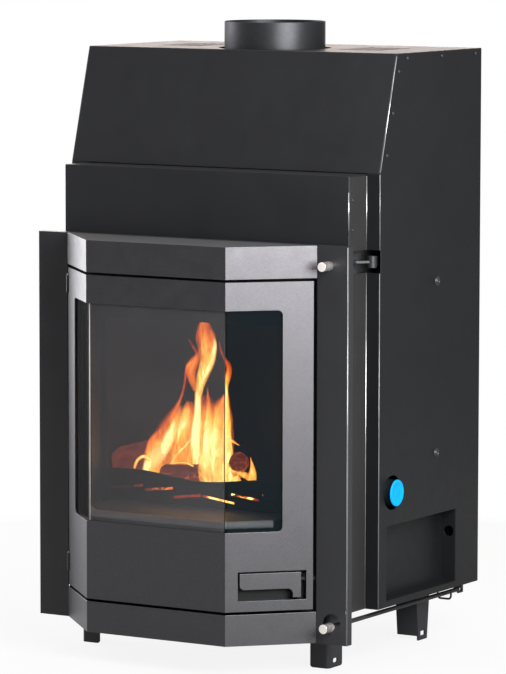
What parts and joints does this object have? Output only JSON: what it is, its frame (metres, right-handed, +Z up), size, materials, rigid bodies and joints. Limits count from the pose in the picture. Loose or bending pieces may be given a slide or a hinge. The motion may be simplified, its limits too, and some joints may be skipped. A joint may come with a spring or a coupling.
{
  "type": "fireplace insert",
  "caption": "Hot-water fireplace insert with a three-sided glazed swing door, pull knobs for smoke damper and air, flue collar on top and a sheet casing on short feet.",
  "frame": {"origin": "on the floor, under the centre of the whole insert", "axes": "+X to the right seen from the front, +Y to the back, away from the door, +Z up"},
  "size_m": [0.655, 0.614, 1.106],
  "materials": {
    "casing_paint": "satin anthracite powder coat",
    "frame_paint": "satin black paint",
    "door_paint": "metallic grey heat-proof paint",
    "boiler_steel": "matt black paint on boiler plate",
    "flue_paint": "matt black heat-proof paint",
    "glass": "heat-proof ceramic glass",
    "stainless": "turned and brushed",
    "zinc": "dull zinc plate",
    "cast": "raw cast iron, used",
    "hearth_steel": "heat-stained steel",
    "rope": "glass-fibre sealing rope",
    "cap_plastic": "blue plastic cap",
    "copper": "copper tube"
  },
  "bodies": {
    "root": {"casing_side_right": "casing_paint", "casing_side_left": "casing_paint", "casing_back": "casing_paint", "casing_top": "casing_paint", "casing_slope_panel": "casing_paint", "service_pockets": "casing_paint", "fascia_panel": "casing_paint", "neck_side_right": "casing_paint", "neck_side_left": "casing_paint", "front_frame": "frame_paint", "bay_upper_band": "door_paint", "bay_lower_band": "door_paint", "hinge_brackets": "frame_paint", "hinge_pins": "zinc", "latch_keeper": "frame_paint", "boiler_jacket": "boiler_steel", "firebox_shell": "boiler_steel", "smoke_ducts": "boiler_steel", "exchanger_walls": "boiler_steel", "smoke_baffle": "boiler_steel", "flue_collar": "flue_paint", "hearth_plate": "boiler_steel", "hearth_bed": "cast", "grate": "cast", "log_guard": "cast", "hearth_ledge": "hearth_steel", "ash_pan": "boiler_steel", "ash_pan_rails": "boiler_steel", "foot_front_right": "frame_paint", "foot_front_left": "frame_paint", "foot_rear_right": "frame_paint", "foot_rear_left": "frame_paint", "water_stubs": "boiler_steel", "return_caps": "cap_plastic", "cooling_coil": "copper", "air_inlet_spigot": "boiler_steel", "rod_guide": "frame_paint", "casing_standoffs": "zinc", "casing_bolts": "frame_paint", "casing_screws": "frame_paint"},
    "door": {"door_shell": "door_paint", "glass_front": "glass", "glass_right": "glass", "glass_left": "glass", "glass_rails": "frame_paint", "door_inner_frame": "frame_paint", "door_seal": "rope", "handle_recess_box": "frame_paint", "handle_pin": "zinc", "door_hinge_knuckles": "frame_paint"},
    "handle": {"handle_lever": "door_paint", "latch_hook": "zinc"},
    "damper_control": {"damper_knob": "stainless", "damper_rod": "frame_paint"},
    "damper": {"damper_flap": "boiler_steel", "damper_crank": "zinc"},
    "air_control": {"air_knob": "stainless", "air_rod": "frame_paint"},
    "air_valve": {"air_flap": "boiler_steel", "air_crank": "frame_paint"}
  },
  "joints": [
    {"name": "door_hinge", "type": "hinge", "parent": "root", "child": "door", "pos_m": [-0.25, -0.198, 0.394], "axis": [0, 0, -1], "range_deg": [0, 110]},
    {"name": "handle_pivot", "type": "hinge", "parent": "door", "child": "handle", "pos_m": [0.22477, -0.20626, 0.155], "axis": [0, 0, 1], "range_deg": [0, 35]},
    {"name": "damper_pull", "type": "slide", "parent": "root", "child": "damper_control", "axis": [0, -1, 0], "range_m": [0, 0.0591]},
    {"name": "damper_turn", "type": "hinge", "parent": "root", "child": "damper", "pos_m": [0, -0.0226, 0.77072], "axis": [-1, 0, 0], "range_deg": [0, 50]},
    {"name": "air_pull", "type": "slide", "parent": "root", "child": "air_control", "axis": [0, -1, 0], "range_m": [0, 0.074]},
    {"name": "air_turn", "type": "hinge", "parent": "root", "child": "air_valve", "pos_m": [0, 0.234, 0.226], "axis": [-1, 0, 0], "range_deg": [0, 30]}
  ],
  "couplings": [
    {"joint": "damper_turn", "follows": "damper_pull", "rad_per_m": 14.749},
    {"joint": "air_turn", "follows": "air_pull", "rad_per_m": 7.0735}
  ]
}
